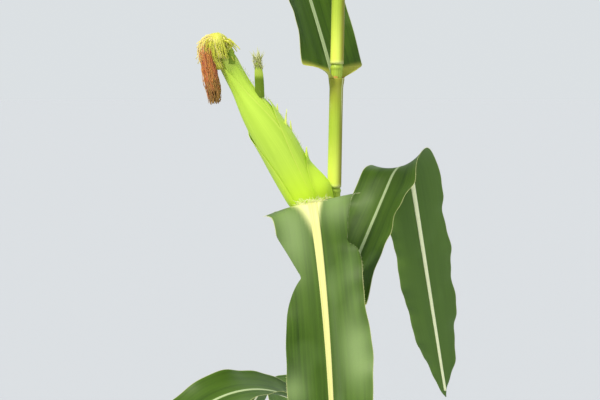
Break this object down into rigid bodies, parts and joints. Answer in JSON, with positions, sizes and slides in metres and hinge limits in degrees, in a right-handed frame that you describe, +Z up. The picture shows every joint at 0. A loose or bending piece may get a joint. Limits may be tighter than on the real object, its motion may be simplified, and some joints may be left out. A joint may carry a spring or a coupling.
{
  "type": "maize plant",
  "caption": "A whole maize plant rooted in the ground: an upright jointed stalk with long arching leaves, a leaning ear in green husks with hanging silk, and a tassel on top",
  "frame": {"origin": "the middle of the flat cut under the stalk, at ground level", "axes": "+Z up along the stalk, -Y towards the viewer of the picture, +X to the right in the picture"},
  "size_m": [0.7753, 0.8123, 2.2996],
  "materials": {
    "stalk": "smooth waxy green rind, paler above each node ring",
    "sheath": "pale yellow-green leaf sheath with fine lengthwise veins",
    "blade": "waxy green leaf blade with parallel veins and a pale midrib",
    "midrib": "smooth cream-coloured midrib",
    "husk": "light yellow-green overlapping husks with lengthwise veins",
    "silk": "fine glossy strands, yellow at the ear and rust brown below",
    "tassel": "dry straw-coloured spikelets with small hanging anthers"
  },
  "bodies": {
    "root": {"stalk": "stalk", "sheath_03": "sheath", "leaf_03_base": "blade", "leaf_03_tip": "blade", "sheath_04": "sheath", "leaf_04_base": "blade", "leaf_04_tip": "blade", "sheath_05": "sheath", "leaf_05_base": "blade", "leaf_05_tip": "blade", "sheath_06": "sheath", "leaf_06_base": "blade", "leaf_06_tip": "blade", "sheath_07": "sheath", "leaf_07_base": "blade", "leaf_07_tip": "blade", "sheath_08": "sheath", "leaf_08_base": "blade", "leaf_08_tip": "blade", "sheath_09": "sheath", "leaf_09_base": "blade", "leaf_09_tip": "blade", "sheath_10": "sheath", "leaf_10_base": "blade", "leaf_10_tip": "blade", "sheath_11": "sheath", "leaf_11_base": "blade", "leaf_11_tip": "blade", "sheath_12": "sheath", "leaf_12_base": "blade", "leaf_12_tip": "blade", "sheath_13": "sheath", "leaf_13_base": "blade", "leaf_13_tip": "blade", "sheath_14": "sheath", "leaf_14_base": "blade", "leaf_14_tip": "blade", "sheath_15": "sheath", "leaf_15_base": "blade", "leaf_15_tip": "blade", "ear_shank": "stalk", "ear_husks": "husk", "silk": "silk", "tassel": "tassel"}
  },
  "joints": []
}
